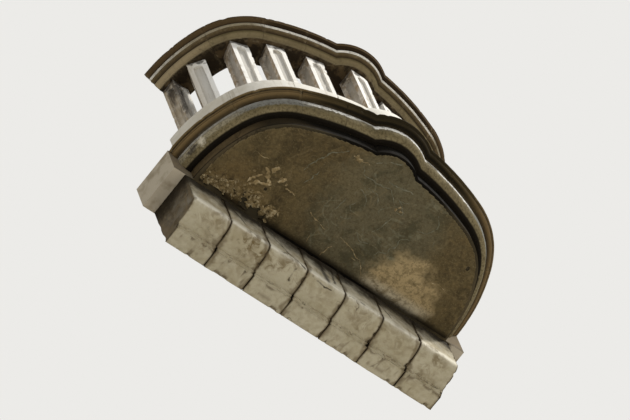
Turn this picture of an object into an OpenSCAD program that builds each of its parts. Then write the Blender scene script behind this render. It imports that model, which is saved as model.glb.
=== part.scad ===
// Stone balcony with a swept moulded slab, a baluster row and a moulded rail.
// It projects towards -Y from the wall face and its slab tails back into the wall.
// The origin lies in the middle of the slab's flat back face.

/* [Plan] */
// Half of the slab's length, measured along the wall
half_len = 915; // [885:5:950]
// Radius of the outline where it leaves the wall
wall_r = 910; // [860:10:960]
// Turn of the outline over the wall arc, in degrees
wall_angle = 25; // [20:1:30]
// Radius of the shoulder arc
shoulder_r = 475; // [430:5:520]
// Turn of the outline where the shoulder arc ends, in degrees
shoulder_angle = 69.5; // [66:0.5:72]
// Radius of the long front arc
front_r = 1750; // [1600:10:1900]
// Turn of the outline where the front arc meets the middle stones, in degrees
front_angle = 77.5; // [76:0.5:79]
// Half of the middle lobe's width at the slab edge
lobe_half = 175; // [150:5:200]
// Radius of the middle lobe at the slab edge
lobe_r = 324; // [315:1:360]

/* [Slab] */
// Thickness of the slab
slab_t = 190; // [165:5:240]
// How far the slab tails back into the wall
tail_depth = 250; // [190:10:350]
// Thickness of the floor bed
floor_t = 24; // [10:1:60]

/* [Edge moulding] */
// Set-back of the slab's plain edge under the moulding
edge_w = 118; // [110:1:130]
// Width of the worn top edge
edge_worn = 8; // [4:1:10]
// Height of the lip along the slab's top
lip_h = 13; // [8:1:20]
// Depth of the groove cut under the lip
quirk_d = 10; // [4:1:14]
// Height of the groove under the lip
quirk_h = 6; // [3:1:10]
// Height of the rounded member over the upright band
ovolo_h = 21; // [14:1:26]
// Set-back of the upright band
band_inset = 50; // [42:1:56]
// Height of the upright band
band_h = 18; // [10:1:24]
// Height of the roll under the band
roll_h = 60; // [44:1:64]
// Set-back from the bottom of the roll to the plain edge
roll_back = 20; // [12:1:24]

/* [Plinth] */
// Set-back of the plinth from the slab edge
plinth_inset = 50; // [30:2:60]
// Width of the plinth
plinth_w = 214; // [190:2:224]
// Height of the plinth
plinth_h = 190; // [100:5:240]
// Width of the splay along the plinth's top edges
plinth_splay = 9; // [4:1:16]

/* [Balusters] */
// Side of a baluster's square section
baluster_w = 100; // [80:2:120]
// Height of the balusters between plinth and rail
baluster_h = 660; // [500:10:800]
// Set-back of the baluster row's middle line from the slab edge
row_inset = 200; // [190:2:210]
// Share of the half row between its middle and the first baluster beside it
first_share = 0.2223; // [0.21:0.002:0.23]
// Share of the half row between that baluster and the second one
second_share = 0.2077; // [0.19:0.002:0.215]
// Share of the half row between the second baluster and the third one
third_share = 0.1787; // [0.17:0.002:0.19]
// Share of the half row between the last full baluster and the wall
wall_share = 0.1893; // [0.185:0.002:0.2]
// Turn of the first side baluster towards its end of the balcony
first_turn = 11; // [0:1:15]
// Turn of the second one
second_turn = 16; // [0:1:20]
// Turn of the third one
third_turn = 18; // [0:1:30]
// Turn of the last full one
last_turn = 53; // [40:1:60]
// Depth of the half balusters at the wall
wall_post_d = 84; // [60:2:90]
// Width of the channel sunk in each baluster face
channel_w = 46; // [30:2:52]
// Depth of the channel
channel_d = 15; // [8:1:18]
// Plain height under each channel
channel_foot = 62; // [40:2:120]
// Plain height over each channel
channel_head = 46; // [30:2:120]

/* [Rail] */
// Set-back of the rail's edge from the slab edge
rail_inset = 53; // [40:1:60]
// Width of the rail
rail_w = 245; // [220:5:260]
// Height of the rail
rail_h = 100; // [98:1:130]
// Width of the rail's worn top edge
rail_worn = 12; // [6:1:18]
// Height of the rail's lip
rail_lip_h = 14; // [8:1:16]
// Depth of the rounded member under the lip
rail_ovolo_d = 28; // [20:1:30]
// Height of the rounded member under the lip
rail_ovolo_h = 22; // [16:1:24]
// Height of the rail's upright band
rail_band_h = 24; // [16:1:26]
// Depth of the flat step under the band
rail_step_d = 16; // [8:1:18]
// Depth of the lower rounded member
rail_roll_d = 32; // [24:1:34]
// Height of the lower rounded member
rail_roll_h = 26; // [18:1:28]
// Depth of the splay along the rail's inner underside
rail_back_d = 24; // [14:1:28]

/* [Lintel under the slab] */
// Width of one lintel stone with its joint
lintel_step = 238; // [180:2:250]
// Sideways shift of the lintel's joints
lintel_shift = -16; // [-40:2:40]
// Width of the joints
joint_w = 3; // [2:0.5:6]
// Height of the lintel's flat face
lintel_face_h = 240; // [100:5:260]
// Depth of the lintel's curved underside
lintel_curve_d = 112; // [80:2:130]
// Drop of the lintel's curved underside
lintel_curve_h = 55; // [30:1:80]
// Depth of the flat ledge behind the curve
lintel_ledge = 24; // [10:1:30]
// Side of each small step behind the ledge
lintel_fillet = 14; // [8:1:24]

/* [Hidden] */
$fn = 180;

LIMESTONE = "#b9ab8f";
SOOTY = "#5b4c3a";
PALE = "#d8d2c2";
SOFFIT = "#7a6a50";
// Stones in the lintel, one node each
lintel_stones = 7;
// Where the arc of a lower rounded member ends, in degrees
roll_end_angle = 260;
// Width of the small steps between the members of a moulding
step = 4;
// Fall of a narrow ledge in a moulding
slope = 1.5;
// The lobe's mouldings lie this much lower than the rail's and the slab's
lobe_drop = 0.5;
// Extra depth of the stock that a cut takes away
stock = 20;
// Length that is longer than the whole balcony
beyond = 4000;

// Heights, measured from the middle of the slab's thickness
z_soffit = -slab_t / 2;
z_slab = slab_t / 2;
z_plinth = z_slab + plinth_h;
z_rail = z_plinth + baluster_h;
z_top = z_rail + rail_h;
y_wall = -tail_depth;

// Centres of the outline's arcs, left half, with the wall face on y = 0
function ray(turn) = [-cos(turn), -sin(turn)];
wall_c = [wall_r - half_len, 0];
shoulder_c = wall_c + (wall_r - shoulder_r) * ray(wall_angle);
front_c = shoulder_c + (shoulder_r - front_r) * ray(shoulder_angle);
// The middle arc runs on from the front arc and has its centre on the balcony's middle line
middle_r = front_r - front_c[0] / cos(front_angle);
middle_c = front_c + (front_r - middle_r) * ray(front_angle);
lobe_c = [0, middle_c[1] - sqrt(middle_r * middle_r - lobe_half * lobe_half)
    + sqrt(lobe_r * lobe_r - lobe_half * lobe_half)];

// Points of an elliptic arc from a0 to a1 degrees, for the moulding lines
function bow(c, rx, ry, a0, a1) =
    [for (i = [0:5]) let (a = a0 + (a1 - a0) * i / 5) c + [rx * cos(a), ry * sin(a)]];

// Moulding lines hold [set-back from the slab edge, height]; outer lines run downwards
z_lip = z_slab - lip_h;
z_ovolo = z_lip - quirk_h;
z_band = z_ovolo - ovolo_h;
z_roll = z_band - band_h;
z_foot = z_roll - roll_h;
edge_outer = concat(
    [[plinth_inset, z_slab], [edge_worn, z_slab - edge_worn / 4], [0, z_slab - edge_worn / 2],
     [0, z_lip], [quirk_d, z_lip - slope], [quirk_d, z_ovolo]],
    bow([band_inset, z_ovolo - slope], band_inset - quirk_d - step, ovolo_h - slope, 180, 270),
    [[band_inset, z_roll]],
    bow([edge_w - roll_back, z_roll - 2 * step],
        edge_w - roll_back - band_inset - step, roll_h - 3 * step, 180, roll_end_angle),
    [[edge_w - roll_back, z_foot]]);
edge_inner = [[edge_w, z_foot], [edge_w, z_slab]];

plinth_back = plinth_inset + plinth_w;
plinth_outer = [[plinth_inset + plinth_splay, z_plinth], [plinth_inset, z_plinth - plinth_splay],
    [plinth_inset, z_slab]];
plinth_inner = [[plinth_back, z_slab], [plinth_back, z_plinth - plinth_splay],
    [plinth_back - plinth_splay, z_plinth]];

rail_back = rail_inset + rail_w;
z_rail_lip = z_top - rail_lip_h;
z_rail_band = z_rail_lip - rail_ovolo_h;
z_rail_step = z_rail_band - rail_band_h;
rail_band_inset = rail_inset + step + rail_ovolo_d;
rail_roll_inset = rail_band_inset + rail_step_d + rail_roll_d;
rail_outer = concat(
    [[rail_inset + rail_worn, z_top], [rail_inset, z_top - rail_worn / 2], [rail_inset, z_rail_lip]],
    bow([rail_band_inset, z_rail_lip - slope], rail_ovolo_d, rail_ovolo_h - slope, 180, 270),
    [[rail_band_inset, z_rail_step], [rail_band_inset + rail_step_d, z_rail_step - slope]],
    bow([rail_roll_inset, z_rail_step - step], rail_roll_d - step, rail_roll_h, 180, roll_end_angle),
    [[rail_roll_inset, z_rail]]);
rail_inner = [[rail_back - rail_back_d, z_rail], [rail_back - rail_back_d, z_rail_step],
    [rail_back, z_rail_step + rail_back_d], [rail_back, z_top - rail_worn],
    [rail_back - rail_worn, z_top]];

// Sweeps a closed line along an arc between two turns of the outline
module sweep(c, r, line, from, to)
    translate([c[0], c[1] + y_wall, 0])
        rotate([0, 0, 180 + from])
            rotate_extrude(angle = to - from)
                polygon([for (p = line) [r - p[0], p[1]]]);

module wall_sweep(line) sweep(wall_c, wall_r, line, 0, wall_angle);
module shoulder_sweep(line) sweep(shoulder_c, shoulder_r, line, wall_angle, shoulder_angle);
module front_sweep(line) sweep(front_c, front_r, line, shoulder_angle, front_angle);

// A line carried on straight past both of its ends
function carry_on(line, extra) = concat(
    [[line[0][0], line[0][1] + extra]], line,
    [[line[len(line) - 1][0], line[len(line) - 1][1] - extra]]);

// Round body whose side follows a line that runs downwards
module round_body(c, r, line)
    translate([c[0], c[1] + y_wall, 0])
        rotate_extrude()
            polygon(concat([[0, line[0][1]]],
                [for (p = line) [r - p[0], p[1]]],
                [[0, line[len(line) - 1][1]]]));

// Middle stone: the curve and the lobe run into each other as two tall blocks,
// then the back, the top and the bottom are cut away
module middle_stone(outer, inner)
    intersection() {
        difference() {
            union() {
                sweep(middle_c, middle_r,
                    concat(carry_on(outer, 2), carry_on([for (p = inner) p + [stock, 0]], -2)),
                    front_angle, 180 - front_angle);
                intersection() {
                    translate([0, 0, -lobe_drop])
                        round_body(lobe_c, lobe_r, carry_on(outer, 1));
                    translate([-lobe_half - stock / 2, middle_c[1] - middle_r + row_inset + y_wall - beyond,
                        -beyond / 2])
                        cube([2 * lobe_half + stock, beyond, beyond]);
                }
            }
            round_body(middle_c, middle_r, carry_on([for (i = [len(inner) - 1:-1:0]) inner[i]], 3));
            children();
        }
        translate([-beyond / 2, y_wall - beyond, inner[0][1]])
            cube([beyond, beyond, outer[0][1] - inner[0][1]]);
    }

// Outline at one set-back as points, left half from the wall to the middle line
function arc_points(c, r, from, to, n) = [for (i = [1:n]) c + r * ray(from + (to - from) * i / n)];
function sides(inset) = concat([[inset - half_len, 0]],
    arc_points(wall_c, wall_r - inset, 0, wall_angle, 12),
    arc_points(shoulder_c, shoulder_r - inset, wall_angle, shoulder_angle, 20),
    arc_points(front_c, front_r - inset, shoulder_angle, front_angle, 5));
// Half width between the notches, where the middle arc and the lobe cross
function notch(rm, rl, d) = let (a = (rm * rm - rl * rl + d * d) / (2 * d)) sqrt(rm * rm - a * a);
function with_lobe(inset) =
    let (rm = middle_r - inset, rl = lobe_r - inset, h = notch(rm, rl, middle_c[1] - lobe_c[1]))
    concat(sides(inset),
        arc_points(middle_c, rm, front_angle, acos(h / rm), 5),
        arc_points(lobe_c, rl, acos(h / rl), 90, 14));
function without_lobe(inset) =
    concat(sides(inset), arc_points(middle_c, middle_r - inset, front_angle, 90, 8));
function both_halves(line) =
    concat(line, [for (i = [len(line) - 2:-1:0]) [-line[i][0], line[i][1]]]);

module lobe_disc(inset, z0, z1)
    translate([lobe_c[0], lobe_c[1] + y_wall, z0])
        cylinder(h = z1 - z0, r = lobe_r - inset);

// Slab and tail in one piece
module slab()
    color(SOFFIT)
        translate([0, y_wall, z_soffit])
            linear_extrude(height = slab_t)
                polygon(concat(both_halves(with_lobe(edge_w)),
                    [[half_len, 0], [half_len, tail_depth], [-half_len, tail_depth], [-half_len, 0]]));

module floor_bed()
    color(LIMESTONE)
        translate([0, y_wall, z_slab])
            linear_extrude(height = floor_t)
                polygon(both_halves(without_lobe(plinth_back)));

edge_section = concat(edge_outer, edge_inner);
module edge_stone_wall() color(SOOTY) wall_sweep(edge_section);
module edge_stone_shoulder() color(SOOTY) shoulder_sweep(edge_section);
module edge_stone_front() color(SOOTY) front_sweep(edge_section);
module edge_stone_middle()
    color(SOOTY)
        middle_stone(edge_outer, edge_inner)
            lobe_disc(edge_w, z_soffit, z_slab + 3);

plinth_section = concat(plinth_outer, plinth_inner);
module plinth_wall() color(PALE) wall_sweep(plinth_section);
module plinth_shoulder() color(PALE) shoulder_sweep(plinth_section);
module plinth_front() color(PALE) front_sweep(plinth_section);
module plinth_middle() color(PALE) middle_stone(plinth_outer, plinth_inner);

rail_section = concat(rail_outer, rail_inner);
module rail_wall() color(SOOTY) wall_sweep(rail_section);
module rail_shoulder() color(SOOTY) shoulder_sweep(rail_section);
module rail_front() color(SOOTY) front_sweep(rail_section);
module rail_middle() color(SOOTY) middle_stone(rail_outer, rail_inner);

// One channel, upright, with a round head, sunk in a face that looks towards -Y
module channel() {
    channel_h = baluster_h - channel_foot - channel_head - channel_w / 2;
    translate([-channel_w / 2, -1, channel_foot])
        cube([channel_w, channel_d + 1, channel_h]);
    translate([0, channel_d, channel_foot + channel_h])
        rotate([90, 0, 0])
            cylinder(h = channel_d + 1, r = channel_w / 2, $fn = 48);
}

module baluster()
    color(PALE)
        translate([0, 0, z_plinth])
            difference() {
                translate([-baluster_w / 2, -baluster_w / 2, 0])
                    cube([baluster_w, baluster_w, baluster_h]);
                for (turn = [0:90:270])
                    rotate([0, 0, turn])
                        translate([0, -baluster_w / 2, 0])
                            channel();
            }

// Half baluster whose back lies on the wall face
module wall_baluster()
    color(PALE)
        translate([-(half_len - row_inset), y_wall, z_plinth])
            difference() {
                translate([-baluster_w / 2, -wall_post_d, 0])
                    cube([baluster_w, wall_post_d, baluster_h]);
                translate([0, -wall_post_d, 0])
                    channel();
                for (side = [-1, 1])
                    translate([side * baluster_w / 2, -wall_post_d / 2, 0])
                        rotate([0, 0, side * 90])
                            channel();
            }

// Place on the row's arcs at a distance from the middle line, without the lobe
row_middle_l = (middle_r - row_inset) * (90 - front_angle) * PI / 180;
row_front_l = (front_r - row_inset) * (front_angle - shoulder_angle) * PI / 180;
row_shoulder_l = (shoulder_r - row_inset) * (shoulder_angle - wall_angle) * PI / 180;
function on_arc(c, r, turn, l) = c + (r - row_inset) * ray(turn - l / (r - row_inset) * 180 / PI);
function row_place(l) =
    l < row_middle_l ? on_arc(middle_c, middle_r, 90, l)
    : l < row_middle_l + row_front_l ? on_arc(front_c, front_r, front_angle, l - row_middle_l)
    : l < row_middle_l + row_front_l + row_shoulder_l
    ? on_arc(shoulder_c, shoulder_r, shoulder_angle, l - row_middle_l - row_front_l)
    : on_arc(wall_c, wall_r, wall_angle, l - row_middle_l - row_front_l - row_shoulder_l);

// Balusters keep their shares of the half row, each with its own turn
row_wall_l = (wall_r - row_inset) * wall_angle * PI / 180;
row_l = row_middle_l + row_front_l + row_shoulder_l + row_wall_l;
row_shares = [first_share, first_share + second_share, first_share + second_share + third_share,
    1 - wall_share];
row_turns = [first_turn, second_turn, third_turn, last_turn];

module side_baluster(i) {
    p = row_place(row_shares[i - 1] * row_l);
    translate([p[0], p[1] + y_wall, 0])
        rotate([0, 0, -row_turns[i - 1]])
            baluster();
}

module middle_baluster()
    translate([0, lobe_c[1] - lobe_r + row_inset + y_wall, 0])
        baluster();

// Lintel section in [depth behind the wall face, height], with a curved underside
lintel_low = z_soffit - lintel_face_h - lintel_curve_h;
lintel_step_d = lintel_curve_d + lintel_ledge;
lintel_section = concat(
    [[0, z_soffit]],
    bow([lintel_curve_d, z_soffit - lintel_face_h], lintel_curve_d, lintel_curve_h, 180, 270),
    [[lintel_step_d, lintel_low],
     [lintel_step_d, lintel_low - lintel_fillet],
     [lintel_step_d + lintel_fillet, lintel_low - lintel_fillet],
     [lintel_step_d + lintel_fillet, lintel_low - 2 * lintel_fillet],
     [tail_depth, lintel_low - 2 * lintel_fillet],
     [tail_depth, z_soffit]]);

module lintel_stone(i)
    color(LIMESTONE)
        translate([lintel_shift + (i - lintel_stones / 2 - 1) * lintel_step + joint_w / 2, y_wall, 0])
            rotate([90, 0, 90])
                linear_extrude(height = lintel_step - joint_w)
                    polygon(lintel_section);

module right_side() mirror([1, 0, 0]) children();

slab();
floor_bed();
edge_stone_wall();  // edge_stone_wall_left
edge_stone_shoulder();  // edge_stone_shoulder_left
edge_stone_front();  // edge_stone_front_left
edge_stone_middle();
right_side() edge_stone_front();  // edge_stone_front_right
right_side() edge_stone_shoulder();  // edge_stone_shoulder_right
right_side() edge_stone_wall();  // edge_stone_wall_right
plinth_wall();  // plinth_wall_left
plinth_shoulder();  // plinth_shoulder_left
plinth_front();  // plinth_front_left
plinth_middle();
right_side() plinth_front();  // plinth_front_right
right_side() plinth_shoulder();  // plinth_shoulder_right
right_side() plinth_wall();  // plinth_wall_right
wall_baluster();  // wall_baluster_left
side_baluster(4);  // baluster_left_4
side_baluster(3);  // baluster_left_3
side_baluster(2);  // baluster_left_2
side_baluster(1);  // baluster_left_1
middle_baluster();  // baluster_middle
right_side() side_baluster(1);  // baluster_right_1
right_side() side_baluster(2);  // baluster_right_2
right_side() side_baluster(3);  // baluster_right_3
right_side() side_baluster(4);  // baluster_right_4
right_side() wall_baluster();  // wall_baluster_right
rail_wall();  // rail_wall_left
rail_shoulder();  // rail_shoulder_left
rail_front();  // rail_front_left
rail_middle();
right_side() rail_front();  // rail_front_right
right_side() rail_shoulder();  // rail_shoulder_right
right_side() rail_wall();  // rail_wall_right
lintel_stone(1);  // lintel_stone_1
lintel_stone(2);  // lintel_stone_2
lintel_stone(3);  // lintel_stone_3
lintel_stone(4);  // lintel_stone_4
lintel_stone(5);  // lintel_stone_5
lintel_stone(6);  // lintel_stone_6
lintel_stone(7);  // lintel_stone_7
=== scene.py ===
"""Dresses the stone balcony: worn stones over the solids, a plastered soffit, mortar, light and camera."""

import itertools
import math
import random

import bmesh
import bpy
from mathutils import Matrix, Vector, noise


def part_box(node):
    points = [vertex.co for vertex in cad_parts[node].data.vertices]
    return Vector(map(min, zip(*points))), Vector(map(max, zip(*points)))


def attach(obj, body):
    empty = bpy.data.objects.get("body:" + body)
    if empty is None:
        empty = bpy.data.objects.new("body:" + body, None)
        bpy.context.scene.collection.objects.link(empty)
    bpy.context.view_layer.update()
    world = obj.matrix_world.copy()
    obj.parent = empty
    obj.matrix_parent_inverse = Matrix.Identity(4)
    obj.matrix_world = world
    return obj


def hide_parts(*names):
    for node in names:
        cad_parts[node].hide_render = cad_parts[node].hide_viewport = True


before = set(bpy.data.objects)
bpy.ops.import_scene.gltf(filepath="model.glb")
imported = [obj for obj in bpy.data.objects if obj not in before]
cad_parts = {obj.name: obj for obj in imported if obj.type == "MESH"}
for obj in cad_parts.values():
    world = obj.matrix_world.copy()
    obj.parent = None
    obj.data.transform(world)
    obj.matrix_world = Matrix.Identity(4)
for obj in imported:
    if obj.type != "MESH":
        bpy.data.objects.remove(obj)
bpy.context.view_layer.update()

# Plan and heights in metres, as in the part's source
WALL_FACE = -0.25
HALF_LENGTH = 0.915
WALL_R, WALL_ANGLE = 0.910, 25.0
SHOULDER_R, SHOULDER_ANGLE = 0.475, 69.5
FRONT_R, FRONT_ANGLE = 1.750, 77.5
LOBE_HALF, LOBE_R = 0.175, 0.324
Z_SOFFIT, Z_SLAB, Z_PLINTH, Z_RAIL, Z_TOP = -0.095, 0.095, 0.285, 0.945, 1.045
UP = Vector((0.0, 0.0, 1.0))


def ray(turn):
    """Direction from an arc's centre to the outline, 0 along the back and 90 straight out."""
    a = math.radians(turn)
    return Vector((-math.cos(a), -math.sin(a), 0.0))


wall_c = Vector((WALL_R - HALF_LENGTH, WALL_FACE, 0.0))
shoulder_c = wall_c + (WALL_R - SHOULDER_R) * ray(WALL_ANGLE)
front_c = shoulder_c + (SHOULDER_R - FRONT_R) * ray(SHOULDER_ANGLE)
middle_r = FRONT_R - front_c.x / math.cos(math.radians(FRONT_ANGLE))
middle_c = front_c + (FRONT_R - middle_r) * ray(FRONT_ANGLE)
lobe_c = Vector((0.0, middle_c.y - math.sqrt(middle_r**2 - LOBE_HALF**2)
                 + math.sqrt(LOBE_R**2 - LOBE_HALF**2), 0.0))
ARCS = {
    "wall": (wall_c, WALL_R, 0.0, WALL_ANGLE),
    "shoulder": (shoulder_c, SHOULDER_R, WALL_ANGLE, SHOULDER_ANGLE),
    "front": (front_c, FRONT_R, SHOULDER_ANGLE, FRONT_ANGLE),
}


def bow(centre, rx, ry, start, end, count=8):
    """Points of an elliptic arc in a moulding line."""
    angles = [math.radians(start + (end - start) * i / count) for i in range(count + 1)]
    return [(centre[0] + rx * math.cos(a), centre[1] + ry * math.sin(a)) for a in angles]


# Moulding lines as (set-back from the slab edge, height); outer ones run downwards
EDGE_OUTER = ([(0.050, Z_SLAB), (0.008, 0.093), (0.0, 0.091), (0.0, 0.082), (0.010, 0.0805), (0.010, 0.076)]
              + bow((0.050, 0.0745), 0.036, 0.0195, 180, 270) + [(0.050, 0.037)]
              + bow((0.098, 0.029), 0.044, 0.048, 180, 260) + [(0.098, -0.023)])
EDGE_BACK = 0.118
EDGE_INNER = [(EDGE_BACK, -0.023), (EDGE_BACK, Z_SLAB)]
PLINTH_OUTER = [(0.059, Z_PLINTH), (0.050, 0.276), (0.050, Z_SLAB)]
PLINTH_INNER = [(0.264, Z_SLAB), (0.264, 0.276), (0.255, Z_PLINTH)]
RAIL_OUTER = ([(0.065, Z_TOP), (0.053, 1.039), (0.053, 1.031)]
              + bow((0.085, 1.0295), 0.028, 0.0205, 180, 255)
              + [(0.0768, 1.009), (0.0768, 1.0003), (0.085, 0.9990), (0.085, 0.985), (0.101, 0.9835)]
              + bow((0.133, 0.981), 0.028, 0.026, 180, 260) + [(0.133, Z_RAIL)])
RAIL_INNER = [(0.274, Z_RAIL), (0.274, 0.985), (0.298, 1.009), (0.298, 1.033), (0.286, Z_TOP)]
# Points along a section and along its run lie about this far apart
SECTION_STEP, RUN_STEP = 0.007, 0.008


def finely(line, step):
    """An open line with points no further apart than step, and a close point beside each corner."""
    points = []
    for a, b in zip(line, line[1:]):
        a, b = Vector(a), Vector(b)
        length = (b - a).length
        close = min(0.002, length / 3)
        count = max(1, math.ceil((length - 2 * close) / step))
        shares = [0.0] + [(close + (length - 2 * close) * i / count) / length for i in range(count + 1)]
        points += [a.lerp(b, s) for s in shares]
    return points + [Vector(line[-1])]


def section_ring(outer, inner, step):
    """Closed section as (share, outer set-back, inner set-back, height).
    The share is 0 on the outer face, 1 on the inner face and runs across the bottom and the top."""
    ring = [(0.0, p.x, p.x, p.y) for p in finely(outer, step)]
    for start, end, back in ((outer[-1], inner[0], False), (outer[0], inner[-1], True)):
        across = finely([start, end], 2 * step)[1:-1]
        span = end[0] - start[0]
        row = [((p.x - start[0]) / span, start[0], end[0], p.y) for p in across]
        if back:
            ring += [(1.0, p.x, p.x, p.y) for p in finely(inner, step)] + row[::-1]
        else:
            ring += row
    return ring


def close_ends(bm):
    """Closes the joint faces and turns every face outwards."""
    bmesh.ops.holes_fill(bm, edges=[e for e in bm.edges if e.is_boundary], sides=0)
    bmesh.ops.recalc_face_normals(bm, faces=bm.faces)


def first_ring(bm, places, label=None, values=()):
    """Starts a shape from a closed ring of vertices, which may carry a value that the finish reads."""
    layer = bm.verts.layers.float.new(label) if label else None
    ring = [bm.verts.new(p) for p in places]
    for v, value in zip(ring, values):
        v[layer] = value
    for pair in zip(ring, ring[1:] + ring[:1]):
        bm.edges.new(pair)
    return ring


def swept_stone(outer, inner, arc):
    """One stone of a moulding, its section spun round the centre of its arc."""
    centre, radius, start, end = ARCS[arc]
    section = section_ring(outer, inner, SECTION_STEP)
    setbacks = [a + (b - a) * s for s, a, b, z in section]
    places = [centre + (radius - d) * ray(start) + q[3] * UP for d, q in zip(setbacks, section)]
    bm = bmesh.new()
    turned = first_ring(bm, places, "setback", setbacks) + bm.edges[:]
    angle, joint = math.radians(end - start), 0.0025 / radius
    for part, steps in ((joint, 1), (angle - 2 * joint, round(angle * radius / RUN_STEP)), (joint, 1)):
        turned = bmesh.ops.spin(bm, geom=turned, cent=centre, axis=UP, angle=part, steps=steps)["geom_last"]
    close_ends(bm)
    return bm


def extrude_ring(bm, ring, places):
    """Extrudes a closed ring of vertices once and moves the new ring to its places."""
    edges = [bm.edges.get(pair) for pair in zip(ring, ring[1:] + ring[:1])]
    made = bmesh.ops.extrude_edge_only(bm, edges=edges)["geom"]
    fresh = {g for g in made if isinstance(g, bmesh.types.BMVert)}
    ring = [next(e.other_vert(v) for e in v.link_edges if e.other_vert(v) in fresh) for v in ring]
    for v, place in zip(ring, places):
        v.co = place
    return ring


def notch_half(inset):
    """Half width between the notches, where the middle arc and the lobe cross."""
    rm, rl, d = middle_r - inset, LOBE_R - inset, middle_c.y - lobe_c.y
    a = (rm * rm - rl * rl + d * d) / (2 * d)
    return math.sqrt(rm * rm - a * a)


# Share of a middle stone's length on the arc to each side of the lobe, and on the lobe
SIDE_SHARE, LOBE_SHARE = 0.22, 0.56


def outer_place(inset, t):
    """Place on the middle stones' outer face: t runs over the left arc, the lobe and the right arc."""
    half = notch_half(inset)
    turn_in = math.degrees(math.acos(half / (middle_r - inset)))
    lobe_in = math.degrees(math.acos(half / (LOBE_R - inset)))
    swing = turn_in - FRONT_ANGLE
    if t < SIDE_SHARE:
        return middle_c + (middle_r - inset) * ray(FRONT_ANGLE + swing * t / SIDE_SHARE)
    if t > 1 - SIDE_SHARE:
        return middle_c + (middle_r - inset) * ray(180 - FRONT_ANGLE - swing * (1 - t) / SIDE_SHARE)
    return lobe_c + (LOBE_R - inset) * ray(lobe_in + (180 - 2 * lobe_in) * (t - SIDE_SHARE) / LOBE_SHARE)


def inner_place(inset, t):
    """Place on the plinth's and the rail's inner face, which runs straight past the lobe."""
    return middle_c + (middle_r - inset) * ray(FRONT_ANGLE + (180 - 2 * FRONT_ANGLE) * t)


def middle_stone(outer, inner, follow):
    """The stone with the lobe; its inner face follows the lobe only on the slab's edge."""
    section = section_ring(outer, inner, SECTION_STEP)
    inside = outer_place if follow else inner_place

    def places(t):
        return [outer_place(a, t).lerp(inside(b, t), s) + z * UP for s, a, b, z in section]

    bm = bmesh.new()
    ring = first_ring(bm, places(0.0), "setback", [a + (b - a) * s for s, a, b, z in section])
    for t in [0.004] + [i / 100 for i in range(1, 100)] + [0.996, 1.0]:
        ring = extrude_ring(bm, ring, places(t))
    close_ends(bm)
    return bm


# Turns of the side balusters towards their end of the balcony, in degrees
TURNS = {"1": 11.0, "2": 16.0, "3": 18.0, "4": 53.0}
BALUSTER_HALF, BALUSTER_FOOT, BALUSTER_HEAD = 0.05, 0.062, 0.046
CHANNEL_R, CHANNEL_DEPTH = 0.023, 0.015
# Points across the land beside a channel, in shares of its width
LAND = [0.0, 0.08, 0.3, 0.6, 0.85]


def baluster_stone(node, sides):
    """A square baluster: its ring is extruded upwards and the channels sink in between foot and head.
    Sides says which ones have a channel, from the one along the front, turning left."""
    low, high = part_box(node)
    turn, middle = TURNS.get(node[-1], 0.0), (low + high) / 2
    if turn:
        low, high = (Vector((middle.x + a, middle.y + a, z))
                     for a, z in ((-BALUSTER_HALF, low.z), (BALUSTER_HALF, high.z)))
    foot, r, sunk = BALUSTER_FOOT, CHANNEL_R, CHANNEL_DEPTH
    height = high.z - low.z
    spring = height - BALUSTER_HEAD - r
    corners = [(low.x, low.y), (high.x, low.y), (high.x, high.y), (low.x, high.y)]
    ring = []
    for k, channelled in enumerate(sides):
        start = Vector(corners[k] + (0.0,))
        along = Vector(corners[(k + 1) % 4] + (0.0,)) - start
        length = along.length
        along.normalize()
        inwards = Vector((-along.y, along.x, 0.0))
        if channelled:
            points_across = [("land", a, 0.0) for a in LAND]
            points_across += [("sunk", -1.0, q) for q in (0.0, 0.5, 1.0)]
            points_across += [("sunk", a, 1.0) for a in (-0.85, -0.4, 0.0, 0.4, 0.85)]
            points_across += [("sunk", 1.0, q) for q in (1.0, 0.5, 0.0)]
            points_across += [("last", 1.0 - a, 0.0) for a in LAND[:0:-1]]
        else:
            points_across = [("plain", a, 0.0) for a in (0.0, 0.03, 0.3, 0.6, 0.97)]
        ring += [(start, along, inwards, length) + point for point in points_across]

    def places(z, half, deep):
        found = []
        for start, along, inwards, length, zone, a, q in ring:
            edge = length / 2 - half
            u = {"land": a * edge, "sunk": length / 2 + a * half, "last": length - edge + a * edge,
                 "plain": a * length}[zone]
            found.append(start + along * u + inwards * (q * deep) + (low.z + z) * UP)
        return found

    levels = [(0.002, r, 0.0)] + [(foot * i / 8, r, 0.0) for i in range(1, 9)]
    levels += [(foot + 0.0015, r, sunk * 0.8), (foot + 0.004, r, sunk)]
    levels += [(foot + (spring - foot) * i / 64, r, sunk) for i in range(1, 65)]
    levels += [(spring + r * math.sin(math.radians(a)), r * math.cos(math.radians(a)), sunk)
               for a in (12, 25, 38, 50, 62, 72, 81, 87)]
    levels += [(spring + r + 0.001, 0.002, 0.0)]
    top = spring + r + 0.004
    levels += [(top + (height - 0.002 - top) * i / 5, r, 0.0) for i in range(6)] + [(height, r, 0.0)]
    bm = bmesh.new()
    bm.verts.layers.float.new("shade_and_dirt_side")
    loop = first_ring(bm, places(0.0, r, 0.0), "recess")
    recess, shade_and_dirt_side = (bm.verts.layers.float[label] for label in ("recess", "shade_and_dirt_side"))
    # painted shade: marks the sides facing the balcony's ends, and both sides of the middle one, for darkening
    for v, spec in zip(loop, ring):
        facing = spec[2].x * (-1.0 if "right" in node else 1.0)
        v[shade_and_dirt_side] = max(0.0, facing, abs(facing) * ("middle" in node))
    for level in levels:
        loop = extrude_ring(bm, loop, places(*level))
        for v, spec in zip(loop, ring):
            v[recess] = spec[-1] * level[2] / sunk
    bmesh.ops.remove_doubles(bm, verts=bm.verts, dist=0.00005)
    close_ends(bm)
    if turn:
        bmesh.ops.rotate(bm, verts=bm.verts, cent=middle, matrix=Matrix.Rotation(
            math.radians(turn if "right" in node else -turn), 3, "Z"))
    return bm


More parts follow.
